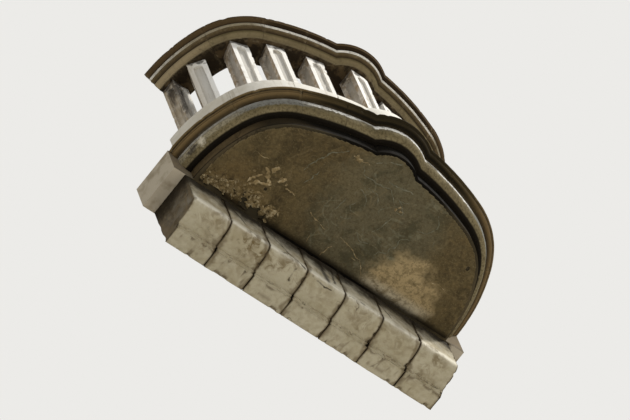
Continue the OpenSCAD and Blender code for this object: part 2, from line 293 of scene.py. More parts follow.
LINTEL_LINE = ([(0.0, Z_SOFFIT)] + bow((0.112, -0.335), 0.112, 0.055, 180, 270, 16)
               + [(0.136, -0.390), (0.136, -0.404), (0.150, -0.404), (0.150, -0.418)])
LINTEL_TAIL = 0.25


def lintel_stone(node):
    """A lintel stone, its section drawn lengthwise from joint to joint."""
    low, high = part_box(node)
    foot, back_foot, back_top = LINTEL_LINE[-1], (LINTEL_TAIL, LINTEL_LINE[-1][1]), (LINTEL_TAIL, Z_SOFFIT)
    line = finely(LINTEL_LINE, SECTION_STEP) + finely([foot, back_foot, back_top], 0.04)[1:]
    line += finely([back_top, LINTEL_LINE[0]], 0.03)[1:-1]
    bm = bmesh.new()
    ring = first_ring(bm, [(low.x, WALL_FACE + p.x, p.y) for p in line])
    length = high.x - low.x
    for x in [0.002] + [length * i / 30 for i in range(1, 30)] + [length - 0.002, length]:
        ring = extrude_ring(bm, ring, [Vector((low.x + x, v.co.y, v.co.z)) for v in ring])
    close_ends(bm)
    return bm


# Section of the mortar in a joint, set back from the stones' faces, and how wide it is and laps over
MORTAR_LINE = [(0.007, Z_SOFFIT - 0.001), (0.007, -0.33), (0.03, -0.365), (0.112, -0.383), (0.144, -0.384),
               (0.158, -0.40), (0.245, -0.41), (0.245, Z_SOFFIT - 0.001)]
MORTAR_WIDTH, MORTAR_LAP = 0.004, 0.0005


def lintel_joints():
    """Mortar set back in the joints between the lintel stones."""
    bm = bmesh.new()
    for i in range(1, 7):
        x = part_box(f"lintel_stone_{i}")[1].x - MORTAR_LAP
        ring = first_ring(bm, [(x, WALL_FACE + y, z) for y, z in MORTAR_LINE])
        extrude_ring(bm, ring, [v.co + Vector((MORTAR_WIDTH, 0.0, 0.0)) for v in ring])
    close_ends(bm)
    return bm


def smooth_step(low, high, x):
    """0 at low and 1 at high, which may be the lower one, with soft ends."""
    t = min(1.0, max(0.0, (x - low) / (high - low)))
    return t * t * (3 - 2 * t)


# Turns between faces, in radians, from which an edge begins to be an arris and is fully one
ARRIS_FROM, ARRIS_FULL = 0.25, 1.2
# How much of an arris's wear its next and second neighbours share
ARRIS_REACHES = (0.7, 0.6)


def weather(bm, seed, wear, chip, wave, chip_level, bites=()):
    """Wears the stone inwards: soft arrises, shallow hollows and a few chips on the arrises.
    Joint faces stay in their planes. What was lost is kept as worn, chipped and joint for the finish."""
    bm.normal_update()
    worn, chipped, joint = (bm.verts.layers.float.new(label) for label in ("worn", "chipped", "joint"))
    ends = {}
    for f in bm.faces:
        if len(f.verts) > 4:
            for v in f.verts:
                ends[v] = f.normal.copy()
                v[joint] = 1.0
    for v in bm.verts:
        turn = max((e.calc_face_angle_signed(0.0) for e in v.link_edges), default=0.0)
        v[worn] = smooth_step(ARRIS_FROM, ARRIS_FULL, turn)
    for reach in ARRIS_REACHES:
        near = [max([v[worn]] + [reach * e.other_vert(v)[worn] for e in v.link_edges]) for v in bm.verts]
        for v, w in zip(bm.verts, near):
            v[worn] = w
    shift = Vector((seed * 3.17, seed * 1.71, seed * 0.93))
    for v in bm.verts:
        p = v.co + shift
        broad = 0.5 + 0.5 * noise.fractal(p * 9.0, 1.0, 2.0, 3)
        fine = 0.5 + 0.5 * noise.noise(p * 75.0)
        knock = smooth_step(chip_level, chip_level + 0.22, noise.fractal(p * 26.0, 0.8, 2.2, 2)) * v[worn]
        loss = wave * broad + 0.0005 * fine + wear * v[worn] * (0.35 + 0.9 * broad) + chip * knock
        for x, y, z, reach, depth in bites:
            gap = (v.co - Vector((x, y, z))).length + 0.4 * reach * noise.noise(p * 40.0)
            bite = smooth_step(reach, 0.45 * reach, gap)
            loss += depth * bite * (0.6 + 0.4 * noise.noise(p * 70.0))
            knock = max(knock, bite)
        v[chipped] = knock
        push = v.normal.copy()
        if v in ends:
            push -= ends[v] * push.dot(ends[v])
            push = push.normalized() if push.length > 0.2 else Vector()
        v.co -= push * loss


def placed(name, data):
    """An object in the scene, at the origin."""
    made = bpy.data.objects.new(name, data)
    bpy.context.scene.collection.objects.link(made)
    return made


def finish_piece(bm, name, material, slot, *nodes, crease=38.0):
    """Makes the mesh an object at the origin, gives it its stone and sets it in the frame."""
    mesh = bpy.data.meshes.new(name)
    bm.to_mesh(mesh)
    bm.free()
    mesh.shade_smooth()
    mesh.set_sharp_from_angle(angle=math.radians(crease))
    mesh.materials.append(material)
    piece = placed(name, mesh)
    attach(piece, "root")
    if nodes:
        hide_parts(*nodes)


def to_the_right(bm):
    """Turns a left stone into its right neighbour's mirror image."""
    bmesh.ops.scale(bm, vec=(-1.0, 1.0, 1.0), verts=bm.verts)
    bmesh.ops.recalc_face_normals(bm, faces=bm.faces)


# ---- shader helpers ----

def tint(r, g, b):
    """A colour written 0 to 255, as the shader's linear colour."""
    shares = [c / 255 for c in (r, g, b)]
    return tuple(c / 12.92 if c <= 0.04045 else ((c + 0.055) / 1.055) ** 2.4 for c in shares) + (1.0,)


def put(tree, kind, inputs=None, **settings):
    """Adds a node; an input that is a socket is linked, any other is set."""
    made = tree.nodes.new(kind)
    for key, value in settings.items():
        setattr(made, key, value)
    fill(tree, made, inputs or {})
    return made


def fill(tree, made, inputs):
    """Links or sets a node's inputs."""
    for key, value in inputs.items():
        if isinstance(value, bpy.types.NodeSocket):
            tree.links.new(value, made.inputs[key])
        else:
            made.inputs[key].default_value = value


def mix(tree, share, a, b):
    """The colour a with a share of b."""
    return put(tree, "ShaderNodeMix", {0: share, 6: a, 7: b}, data_type="RGBA", blend_type="MIX").outputs[2]


def calc(tree, operation, a, b=0.5, clamp=False):
    return put(tree, "ShaderNodeMath", {0: a, 1: b}, operation=operation, use_clamp=clamp).outputs[0]


def vector(tree, operation, a, b, output=0):
    return put(tree, "ShaderNodeVectorMath", {0: a, 1: b}, operation=operation).outputs[output]


def scaled(tree, a, by):
    return put(tree, "ShaderNodeVectorMath", {0: a, 3: by}, operation="SCALE").outputs[0]


def between(tree, value, low, high, to_low=0.0, to_high=1.0):
    """Eases a value from one range to another."""
    return put(tree, "ShaderNodeMapRange", {0: value, 1: low, 2: high, 3: to_low, 4: to_high},
               interpolation_type="SMOOTHSTEP").outputs[0]


def spots(tree, where, scale, detail=4.0, rough=0.6, bend=0.0):
    return put(tree, "ShaderNodeTexNoise", {"Vector": where, "Scale": scale, "Detail": detail,
                                            "Roughness": rough, "Distortion": bend}).outputs[0]


def drawn_out(tree, where, height):
    """Places squeezed along the height, so that a noise on them runs down the stone."""
    return put(tree, "ShaderNodeMapping", {"Vector": where, "Scale": (1.0, 1.0, height)}).outputs[0]


def wander(tree, where, scale, amount):
    """Places moved about by a noise, for lines that don't run straight."""
    swirl = put(tree, "ShaderNodeTexNoise", {"Vector": where, "Scale": scale, "Detail": 4.0}).outputs["Color"]
    return vector(tree, "ADD", where, scaled(tree, swirl, amount))


def ramp(tree, value, stops):
    """Colours along a value, each stop as (place, colour)."""
    made = put(tree, "ShaderNodeValToRGB", {0: value})
    band = made.color_ramp
    while len(band.elements) < len(stops):
        band.elements.new(0.5)
    for element, (place, colour) in zip(band.elements, stops):
        element.position = place
        element.color = colour
    return made.outputs[0]


def group(name, inputs, *outputs):
    """A shader node group with named sockets, each a number, a place or a colour by its first value.
    Returns the tree, what it is given, its end and the places on the object."""
    tree = bpy.data.node_groups.new(name, "ShaderNodeTree")
    for label, value in inputs.items():
        kind = "Float" if isinstance(value, float) else {3: "Vector", 4: "Color"}[len(value)]
        socket = tree.interface.new_socket(label, in_out="INPUT", socket_type="NodeSocket" + kind)
        socket.default_value = value
    for label in outputs:
        kind = "Color" if label == "Colour" else "Float"
        tree.interface.new_socket(label, in_out="OUTPUT", socket_type="NodeSocket" + kind)
    spot = put(tree, "ShaderNodeTexCoord").outputs["Object"]
    return tree, tree.nodes.new("NodeGroupInput").outputs, tree.nodes.new("NodeGroupOutput"), spot


# ---- shared effects ----

# Mottled stone: two sizes of cloud between the stone's colour and its stain
mottle, given, end, spot = group("stone_mottle", {"Stone": tint(180, 170, 150), "Stain": tint(120, 105, 80),
                                                  "Amount": 0.5, "Size": 9.0}, "Colour")
large = between(mottle, spots(mottle, spot, given["Size"], 6.0, 0.62, 0.6), 0.42, 0.66)
small = between(mottle, spots(mottle, spot, calc(mottle, "MULTIPLY", given["Size"], 7.0), 5.0, 0.7), 0.38, 0.7)
cloud = calc(mottle, "ADD", calc(mottle, "MULTIPLY", large, 0.7), calc(mottle, "MULTIPLY", small, 0.45))
share = calc(mottle, "MULTIPLY", cloud, given["Amount"], clamp=True)
fill(mottle, end, {"Colour": mix(mottle, share, given["Stone"], given["Stain"])})

# Rain streaks: noise drawn out along the height
streaks, given, end, spot = group("rain_streaks", {"Density": 30.0, "Level": 0.5}, "Mask")
runs = spots(streaks, drawn_out(streaks, spot, 0.05), given["Density"], 4.0, 0.65, 0.3)
breaks = between(streaks, spots(streaks, spot, 6.0, 3.0, 0.6), 0.35, 0.65)
mask = between(streaks, runs, given["Level"], calc(streaks, "ADD", given["Level"], 0.16))
fill(streaks, end, {"Mask": calc(streaks, "MULTIPLY", mask, breaks)})

# Worn arrises and fresh chips, from what the stones lost
arris, given, end, spot = group("arris_wear", {"Amount": 1.0}, "Worn", "Chipped")
lost, knocked = (put(arris, "ShaderNodeAttribute", attribute_name=label).outputs["Fac"]
                 for label in ("worn", "chipped"))
patchy = between(arris, spots(arris, spot, 38.0, 4.0, 0.7), 0.42, 0.62)
worn = calc(arris, "MULTIPLY", calc(arris, "MULTIPLY", lost, patchy), given["Amount"], clamp=True)
fill(arris, end, {"Worn": worn, "Chipped": between(arris, knocked, 0.15, 0.5)})

# Grain and pits for the bump, and an uneven dullness
grain, given, end, spot = group("stone_grain", {"Size": 220.0, "Pits": 0.5}, "Height", "Dullness")
sand, lumps = spots(grain, spot, given["Size"], 6.0, 0.75), spots(grain, spot, 30.0, 4.0, 0.6)
cells = put(grain, "ShaderNodeTexVoronoi", {"Vector": spot, "Scale": 95.0}).outputs["Distance"]
pitted = between(grain, spots(grain, spot, 16.0, 2.0, 0.5), 0.5, 0.62)
pits = calc(grain, "MULTIPLY", between(grain, cells, 0.04, 0.20, 1.0, 0.0), pitted)
height = calc(grain, "SUBTRACT", calc(grain, "ADD", sand, lumps), calc(grain, "MULTIPLY", pits, given["Pits"]))
fill(grain, end, {"Height": height, "Dullness": between(grain, lumps, 0.3, 0.7, 0.78, 0.95)})

# Hairline cracks: thin cell borders, bent and broken up
cracks, given, end, spot = group("hair_cracks", {"Size": 5.0, "Width": 0.02, "Spread": 0.5}, "Mask")
moved = wander(cracks, spot, 7.0, 0.16)
border = put(cracks, "ShaderNodeTexVoronoi", {"Vector": moved, "Scale": given["Size"]},
             feature="DISTANCE_TO_EDGE").outputs["Distance"]
line = between(cracks, border, 0.0, given["Width"], 1.0, 0.0)
full = calc(cracks, "ADD", given["Spread"], 0.08)
cracked = between(cracks, spots(cracks, spot, 4.0, 2.0), given["Spread"], full)
fill(cracks, end, {"Mask": calc(cracks, "MULTIPLY", line, cracked)})

# Tide lines: nested rings where water dried, along the levels of a slow cloud
tides, given, end, spot = group("tide_lines", {"Size": 3.0, "Rings": 9.0, "Width": 0.1}, "Mask")
cloud = spots(tides, spot, given["Size"], 3.0, 0.5, 1.1)
away = calc(tides, "PINGPONG", calc(tides, "MULTIPLY", cloud, given["Rings"]), 0.5)
line = between(tides, away, 0.0, given["Width"], 1.0, 0.0)
some = between(tides, spots(tides, spot, 7.0, 4.0, 0.65), 0.46, 0.60)
fill(tides, end, {"Mask": calc(tides, "MULTIPLY", line, some)})

# One crack or stroke between two places, bent a little
stroke, given, end, spot = group("single_stroke", {"Start": (0.0, 0.0, 0.0), "End": (0.0, 0.0, 1.0),
                                                   "Width": 0.004}, "Mask")
SWAY = 0.035
moved = vector(stroke, "SUBTRACT", wander(stroke, spot, 22.0, SWAY), (SWAY / 2, SWAY / 2, SWAY / 2))
reach = vector(stroke, "SUBTRACT", given["End"], given["Start"])
from_start = vector(stroke, "SUBTRACT", moved, given["Start"])
along = calc(stroke, "DIVIDE", vector(stroke, "DOT_PRODUCT", from_start, reach, "Value"),
             vector(stroke, "DOT_PRODUCT", reach, reach, "Value"), clamp=True)
gap = vector(stroke, "DISTANCE", from_start, scaled(stroke, reach, along), "Value")
fill(stroke, end, {"Mask": between(stroke, gap, 0.0, given["Width"], 1.0, 0.0)})


class Finish:
    """A material under way: its colour so far, its tree and its shader.
    Masks read the place along the length, out to the front (negative) and up, and how far the middle is."""

    def __init__(self, name, *clouds):
        self.material = bpy.data.materials.new(name)
        self.material.use_nodes = True
        self.tree = self.material.node_tree
        self.shader = self.tree.nodes["Principled BSDF"]
        self.spot = put(self.tree, "ShaderNodeTexCoord").outputs["Object"]
        axes = put(self.tree, "ShaderNodeSeparateXYZ", {0: self.spot}).outputs
        self.along, self.out, self.height = (axes[axis] for axis in "XYZ")
        self.far = calc(self.tree, "ABSOLUTE", self.along)
        self.relief = None
        if clouds:
            self.cloud(tint(*clouds[0]), *clouds[1:])

    def place(self, made_group, **inputs):
        placed = self.tree.nodes.new("ShaderNodeGroup")
        placed.node_tree = made_group
        fill(self.tree, placed, inputs)
        return placed.outputs

    def mask(self, made_group, **inputs):
        return self.place(made_group, **inputs)["Mask"]

    def cloud(self, stone, stain, amount, size):
        """Starts the colour: a stone, mottled by its stain in clouds of a size."""
        self.colour = self.place(mottle, Stone=stone, Stain=tint(*stain), Amount=amount, Size=size)["Colour"]

    def kept(self, label):
        """A value that the mesh keeps for the finish."""
        return put(self.tree, "ShaderNodeAttribute", attribute_name=label).outputs["Fac"]

    def noise(self, scale, *shape):
        return spots(self.tree, self.spot, scale, *shape)

    def rise(self, value, low, high):
        """Mask that is 0 up to low and 1 from high on."""
        return between(self.tree, value, low, high)

    def fall(self, value, low, high):
        """Mask that is 1 up to low and 0 from high on."""
        return between(self.tree, value, low, high, 1.0, 0.0)

    def band(self, value, start, full, still, end):
        """Mask that is 1 from full to still, and 0 before start and past end."""
        return self.both(self.rise(value, start, full), self.fall(value, still, end))

    def patches(self, low, high, scale, *shape):
        """Patches of a noise, with borders as soft as low and high are apart."""
        return self.rise(self.noise(scale, *shape), low, high)

    def near(self, place, low, high, jitter, scale):
        """Mask round one place, 1 inside low and 0 past high, with an uneven border."""
        gap = vector(self.tree, "DISTANCE", self.spot, place, "Value")
        return self.fall(self.add(gap, self.uneven(4 * jitter, scale)), low, high)

    def uneven(self, span, scale, *shape):
        """A noise that swings by half the span to either side of 0."""
        return calc(self.tree, "MULTIPLY", calc(self.tree, "SUBTRACT", self.noise(scale, *shape), 0.5), span)

    def add(self, a, b):
        return calc(self.tree, "ADD", a, b)

    def both(self, mask, *others):
        """Where all of these masks are."""
        for other in others:
            mask = calc(self.tree, "MULTIPLY", mask, other)
        return mask

    def lay(self, mask, colour, amount=1.0, raised=0.0):
        """Lays a colour over what is there, where the mask says; it may stand up or lie deeper."""
        share = calc(self.tree, "MULTIPLY", mask, amount, clamp=True)
        self.colour = mix(self.tree, share, self.colour, tint(*colour))
        if raised:
            lift = calc(self.tree, "MULTIPLY", mask, raised)
            self.relief = lift if self.relief is None else self.add(self.relief, lift)

    def draw(self, strokes, colour, amount, raised=0.0):
        """Draws strokes, each as (start, end, width)."""
        for start, end, width in strokes:
            self.lay(self.mask(stroke, Start=start, End=end, Width=width), colour, amount, raised)

    def age(self, worn, chips, worn_amount, chip_amount, grime=(34, 28, 20), grime_amount=0.75):
        """Worn arrises, fresh chips and dirt in the joints."""
        wear = self.place(arris, Amount=1.0)
        self.lay(wear["Worn"], worn, worn_amount)
        self.lay(wear["Chipped"], chips, chip_amount)
        self.lay(self.kept("joint"), grime, grime_amount)

    def done(self, bump, pits=0.5, depth=0.0012):
        """Adds the grain, joins the colour to the shader and gives the material."""
        grained = self.place(grain, Size=220.0, Pits=pits)
        height = grained["Height"] if self.relief is None else self.add(grained["Height"], self.relief)
        made = put(self.tree, "ShaderNodeBump", {"Strength": bump, "Distance": depth, "Height": height})
        fill(self.tree, self.shader, {"Normal": made.outputs[0], "Roughness": grained["Dullness"],
                                      "Base Color": self.colour, "Specular IOR Level": 0.06})
        return self.material


def height_bands(f, low, high, stops):
    """Colours in level bands between two heights, each stop as (height, colour)."""
    share = put(f.tree, "ShaderNodeMapRange", {0: f.height, 1: low, 2: high}).outputs[0]
    return ramp(f.tree, share, [((z - low) / (high - low), tint(*colour)) for z, colour in stops])


# ---- finishes ----

# Colours by height on the rail; the dark stops at the foot, in the step above the roll, just over the bead and
# under the lip are painted shade in the creases
RAIL_BANDS = [(0.944, (52, 43, 31)), (0.947, (66, 56, 40)), (0.951, (124, 112, 85)), (0.964, (126, 113, 84)),
              (0.972, (102, 91, 63)), (0.979, (98, 86, 60)), (0.982, (38, 30, 21)), (0.986, (94, 80, 56)),
              (0.998, (112, 98, 72)), (0.9995, (240, 237, 229)), (1.0088, (242, 239, 231)),
              (1.0100, (46, 37, 26)), (1.013, (76, 61, 40)), (1.029, (88, 71, 47)), (1.033, (58, 46, 31)),
              (1.038, (96, 79, 56)), (1.050, (120, 104, 79))]


def rail_finish():
    """Sooty brown rail with one pale bead that the rain washes along the band, and painted shade under the
    ovolo and on the underside.
    """
    f = Finish("sooty_shaded_rail_stone")
    f.cloud(height_bands(f, 0.940, 1.050, RAIL_BANDS), (58, 48, 34), 0.32, 11.0)
    lower_ovolo = f.band(f.height, 0.950, 0.956, 0.976, 0.981)
    over_bead = f.band(f.height, 1.0093, 1.0105, 1.019, 1.024)
    f.lay(f.both(f.rise(f.far, 0.70, 0.78), lower_ovolo), (164, 147, 116), 0.65)
    # painted shade: near-black under the ovolo, just over the bead, towards the middle
    f.lay(f.both(f.fall(f.far, 0.45, 0.60), over_bead), (34, 25, 14), 0.85)
    bead = f.band(f.height, 0.998, 0.9993, 1.009, 1.010)
    f.lay(f.both(bead, f.band(f.far, 0.50, 0.60, 0.78, 0.86)), (134, 122, 92), 0.85)
    f.lay(f.both(bead, f.patches(0.56, 0.66, 26.0, 4.0, 0.65)), (132, 122, 98), 0.5)
    # painted shade: the underside made near-black, with lighter brown stains in patches
    under = f.rise(f.kept("setback"), 0.128, 0.138)
    f.lay(under, (40, 32, 22), 0.95)
    f.lay(f.both(under, f.patches(0.50, 0.62, 15.0)), (84, 69, 48), 0.7)
    inner_face = f.rise(f.kept("setback"), 0.266, 0.276)
    f.lay(inner_face, (112, 100, 78), 0.7)
    f.lay(f.mask(streaks, Density=46.0, Level=0.54), (46, 37, 27), 0.5)
    top = f.rise(f.height, 1.0385, 1.043)
    f.lay(f.both(top, f.patches(0.42, 0.6, 12.0)), (142, 131, 108), 0.7)
    f.age((140, 124, 96), (146, 130, 103), 0.3, 0.3, grime_amount=0.45)
    return f.done(bump=0.45)


def plinth_finish():
    """Plain pale stone with faint streaks and a dirty foot, darker and yellower at the ends by painted shade
    and dirt.
    """
    f = Finish("pale_plinth_stone", (238, 235, 226), (212, 205, 190), 0.7, 6.0)
    f.lay(f.mask(streaks, Density=34.0, Level=0.54), (140, 128, 106), 0.45)
    # painted shade with dirt: darker and yellower towards the wall ends
    f.lay(f.rise(f.far, 0.62, 0.86), (172, 161, 136), 0.5)
    foot = f.fall(f.height, Z_SLAB + 0.004, Z_SLAB + 0.045)
    f.lay(f.both(foot, f.noise(30.0)), (96, 84, 64))
    f.age((176, 165, 143), (220, 212, 196), 0.25, 0.4, (120, 108, 88), 0.4)
    return f.done(bump=0.3)


def baluster_finish():
    """Cream balusters, streaked, darkened by painted shade and dirt on the sides towards the ends, greyer in
    the channels and at the wall ends by painted shade and dirt, dark and sooty under the rail with painted
    shade, and with a sooty film at the back.
    """
    f = Finish("streaked_baluster_stone", (246, 244, 238), (230, 225, 214), 0.6, 8.0)
    shade_and_dirt_side = f.kept("shade_and_dirt_side")
    mottled_shade = between(f.tree, f.noise(14.0, 5.0, 0.65), 0.30, 0.62, 0.45, 1.0)
    # painted shade with dirt: the sides towards the ends darker and mottled, darker still towards the rail
    f.lay(f.both(shade_and_dirt_side, mottled_shade), (146, 124, 94), 0.94)
    f.lay(f.both(shade_and_dirt_side, f.rise(f.height, 0.72, 0.93)), (104, 90, 69), 0.7)
    # painted shade and dirt: channel floors greyer, less so towards the ends
    channel_shade_and_dirt = f.both(f.kept("recess"), between(f.tree, f.far, 0.70, 0.76, 0.62, 0.2))
    f.lay(channel_shade_and_dirt, (170, 165, 155))
    # painted shade with dirt: darker and warmer towards the wall ends
    f.lay(f.rise(f.far, 0.70, 0.76), (178, 165, 141), 0.6)
    f.lay(f.mask(streaks, Density=70.0, Level=0.52), (128, 117, 98), 0.4)
    # painted shade and grime: dark at the head, with a ragged border, where the baluster meets the rail
    head_shade_and_soot = between(f.tree, f.noise(24.0), 0.36, 0.66, 0.0, 0.045)
    f.lay(f.rise(f.add(f.height, head_shade_and_soot), Z_RAIL - 0.020, Z_RAIL + 0.012), (58, 50, 39), 0.85)
    at_back = f.rise(f.out, WALL_FACE - 0.095, WALL_FACE - 0.088)
    thicker = between(f.tree, f.height, 0.36, 0.86, -0.12, 0.10)
    film = f.add(spots(f.tree, drawn_out(f.tree, f.spot, 0.12), 17.0, 5.0, 0.6), thicker)
    f.lay(f.both(at_back, f.rise(film, 0.46, 0.60)), (60, 53, 46), 0.85)
    f.age((240, 236, 226), (214, 205, 188), 0.3, 0.5, (70, 60, 46), 0.8)
    return f.done(bump=0.3)


# Colours by height on the slab's edge; the near-black stops under the roll and the dark lines in the quirk
# under the lip and at the foot of the ovolo are painted shade
EDGE_BANDS = [(-0.025, (24, 20, 13)), (-0.019, (30, 25, 17)), (-0.0155, (134, 122, 92)),
              (-0.004, (122, 110, 80)), (0.004, (112, 101, 72)), (0.018, (116, 106, 80)),
              (0.0275, (138, 129, 104)), (0.036, (112, 104, 86)), (0.0385, (184, 181, 172)),
              (0.053, (198, 195, 187)), (0.0555, (42, 34, 22)), (0.060, (104, 86, 57)), (0.066, (118, 98, 66)),
              (0.0675, (46, 37, 24)), (0.0695, (104, 85, 56)), (0.0745, (110, 91, 61)), (0.077, (38, 30, 19)),
              (0.081, (40, 32, 20)), (0.083, (114, 95, 63)), (0.093, (128, 109, 76))]
NOTCH = 0.205


def edge_finish():
    """The slab's moulded edge: brown lip, rough pale band with a pale crust, whiter towards the middle by a
    painted highlight and greyer towards the ends by painted shade, olive-beige roll, and near-black below the
    lip and below the roll by painted shade.
    """
    f = Finish("weathered_edge_stone")
    f.cloud(height_bands(f, -0.030, 0.100, EDGE_BANDS), (76, 65, 45), 0.4, 10.0)
    pale_band = f.band(f.height, 0.034, 0.039, 0.052, 0.057)
    roll, below_lip = f.fall(f.height, 0.030, 0.036), f.fall(f.height, 0.050, 0.056)
    ragged = f.add(f.height, calc(f.tree, "MULTIPLY", f.noise(52.0, 5.0, 0.7), 0.024))
    # painted shade over a pale crust: the roll's top greyer on the shoulders
    shoulder = f.band(f.far, 0.47, 0.56, 0.74, 0.84)
    f.lay(f.both(shoulder, below_lip, f.rise(ragged, 0.018, 0.030)), (126, 127, 123), 0.8)
    ends = f.rise(f.far, 0.74, 0.82)
    f.lay(f.both(ends, roll, f.rise(f.height, -0.004, 0.010)), (170, 160, 134), 0.6)
    f.lay(f.both(roll, f.patches(0.46, 0.60, 90.0, 6.0, 0.72)), (56, 48, 32), 0.55, -0.6)
    off_notch = f.rise(calc(f.tree, "ABSOLUTE", calc(f.tree, "SUBTRACT", f.far, NOTCH)), 0.028, 0.048)
    # pale crust with a painted highlight: near-white towards the middle, away from the notch
    pale_crust_sunlit = f.both(f.fall(f.far, 0.44, 0.58), below_lip, off_notch, f.rise(ragged, 0.042, 0.047))
    f.lay(pale_crust_sunlit, (244, 242, 236), 0.95)
    f.lay(f.both(pale_band, f.patches(0.48, 0.62, 60.0, 5.0, 0.7)), (112, 108, 98), 0.75, -0.8)
    # painted shade: the pale band greyer nearer the wall
    f.lay(f.both(pale_band, f.rise(f.out, -0.70, -0.55)), (142, 136, 122), 0.6)
    f.lay(f.mask(streaks, Density=40.0, Level=0.55), (52, 43, 30), 0.45)
    f.age((132, 120, 92), (140, 128, 102), 0.25, 0.3, grime_amount=0.5)
    lip = f.rise(f.height, 0.0545, 0.0575)
    f.lay(f.both(lip, f.fall(f.far, 0.40, 0.66)), (60, 51, 31), 0.88)
    f.lay(f.both(lip, f.fall(f.far, 0.20, 0.40)), (36, 31, 19), 0.8)
    # painted shadow: near-black in the throat under the lip, towards the middle
    throat_shadow = f.both(lip, f.fall(f.height, 0.059, 0.064), f.fall(f.far, 0.36, 0.60))
    f.lay(throat_shadow, (18, 15, 9), 0.85)
    # painted shade: near-black under the roll
    roll_underside_shade = f.both(f.rise(f.kept("setback"), 0.080, 0.090), f.fall(f.height, 0.0, 0.010))
    f.lay(roll_underside_shade, (22, 18, 12), 0.97)
    f.lay(f.near((-0.852, -0.408, 0.014), 0.012, 0.034, 0.02, 34.0), (206, 197, 176), 0.85)
    f.lay(f.near((-0.872, -0.345, 0.006), 0.020, 0.044, 0.02, 30.0), (50, 44, 40), 0.85)
    return f.done(bump=0.45)


def slab_finish():
    """The slab: its plain edge darkened by painted shadow, black above and brown below, raw stone on its
    built-in tail.
    """
    f = Finish("brown_slab_stone", (94, 79, 55), (64, 54, 37), 0.7, 9.0)
    # painted shadow under the moulding: the plain edge darker away from the ends, near-black at the front,
    # most of all high up
    f.lay(f.fall(f.far, 0.66, 0.76), (32, 27, 18), 0.85)
    patchy = between(f.tree, f.noise(16.0, 4.0, 0.6), 0.25, 0.5, 0.6)
    f.lay(f.both(f.fall(f.far, 0.36, 0.54), patchy), (14, 12, 8), 0.95)
    f.lay(f.both(f.fall(f.far, 0.42, 0.60), f.rise(f.height, -0.062, -0.046)), (15, 13, 9), 0.9)
    f.lay(f.both(f.rise(f.far, 0.28, 0.42), f.fall(f.height, -0.092, -0.084)), (72, 65, 49), 0.6)
    plaster_seam = f.band(f.height, -0.091, -0.087, -0.082, -0.076)
    f.lay(plaster_seam, (22, 18, 12), 0.75)
    f.lay(f.mask(cracks, Size=6.0, Width=0.02, Spread=0.5), (32, 26, 18), 0.6)
    clear = calc(f.tree, "MAXIMUM", f.rise(f.height, -0.0948, -0.0930), f.rise(f.far, 0.818, 0.850))
    f.lay(f.both(clear, f.rise(f.out, WALL_FACE - 0.002, WALL_FACE + 0.004)), (187, 176, 155), 0.9)
    tail = f.rise(f.out, WALL_FACE, WALL_FACE + 0.01)
    f.lay(f.both(tail, f.patches(0.45, 0.62, 7.0, 5.0)), (140, 127, 104), 0.8)
    return f.done(bump=0.45, pits=0.8)


def soffit_finish():
    """Old soffit plaster: brown, olive-grey in the middle with grey tide lines, and beige at the back."""
    f = Finish("veined_soffit_plaster", (96, 83, 56), (62, 53, 35), 0.95, 7.0)
    f.lay(f.patches(0.46, 0.66, 24.0, 8.0, 0.72, 0.6), (112, 94, 62), 0.4)
    middle = f.near((0.10, -0.58, Z_SOFFIT), 0.24, 0.48, 0.10, 4.5)
    f.lay(middle, (94, 88, 68), 0.8)
    f.lay(f.both(middle, f.patches(0.50, 0.62, 9.0, 6.0, 0.6, 0.8)), (66, 63, 46), 0.7)
    f.lay(f.near((-0.12, -0.66, Z_SOFFIT), 0.03, 0.15, 0.06, 9.0), (101, 90, 65), 0.55)
    for size, rings, width in ((3.0, 6.0, 0.15), (4.6, 4.0, 0.13)):
        f.lay(f.both(middle, f.mask(tides, Size=size, Rings=rings, Width=width)), (122, 119, 97), 0.45, 0.2)
    f.lay(f.mask(tides, Size=5.4, Rings=5.0, Width=0.12), (117, 102, 73), 0.35, 0.2)
    beige = f.near((0.42, -0.325, Z_SOFFIT), 0.12, 0.24, 0.08, 7.0)
    f.lay(beige, (172, 151, 111), 0.85)
    f.lay(f.both(beige, f.rise(f.out, -0.35, -0.29)), (187, 178, 155), 0.7)
    f.lay(f.both(beige, f.patches(0.48, 0.60, 13.0, 7.0, 0.7, 1.0)), (110, 95, 66), 0.65)
    f.lay(f.near((-0.60, -0.31, Z_SOFFIT), 0.10, 0.22, 0.06, 8.0), (108, 89, 57), 0.5)
    loose_strip = f.both(f.rise(f.out, -0.395, -0.345), f.fall(f.along, -0.36, -0.30))
    f.lay(f.both(loose_strip, f.patches(0.46, 0.66, 30.0, 6.0, 0.65, 0.7)), (141, 122, 86), 0.55, 1.0)
    f.lay(f.both(loose_strip, f.patches(0.50, 0.64, 21.0, 5.0, 0.65, 0.7)), (44, 36, 23), 0.75, -1.2)
    f.lay(f.patches(0.46, 0.62, 75.0, 4.0, 0.65), (62, 53, 35), 0.42)
    f.lay(f.patches(0.56, 0.68, 110.0, 3.0, 0.6), (128, 114, 84), 0.35)
    f.lay(f.kept("worn"), (125, 112, 85), 0.5)
    # painted shade: near-black in the corner against the lintel's face
    f.lay(f.rise(f.out, WALL_FACE - 0.05, WALL_FACE - 0.012), (26, 21, 13), 0.9)
    return f.done(bump=0.6, depth=0.002)


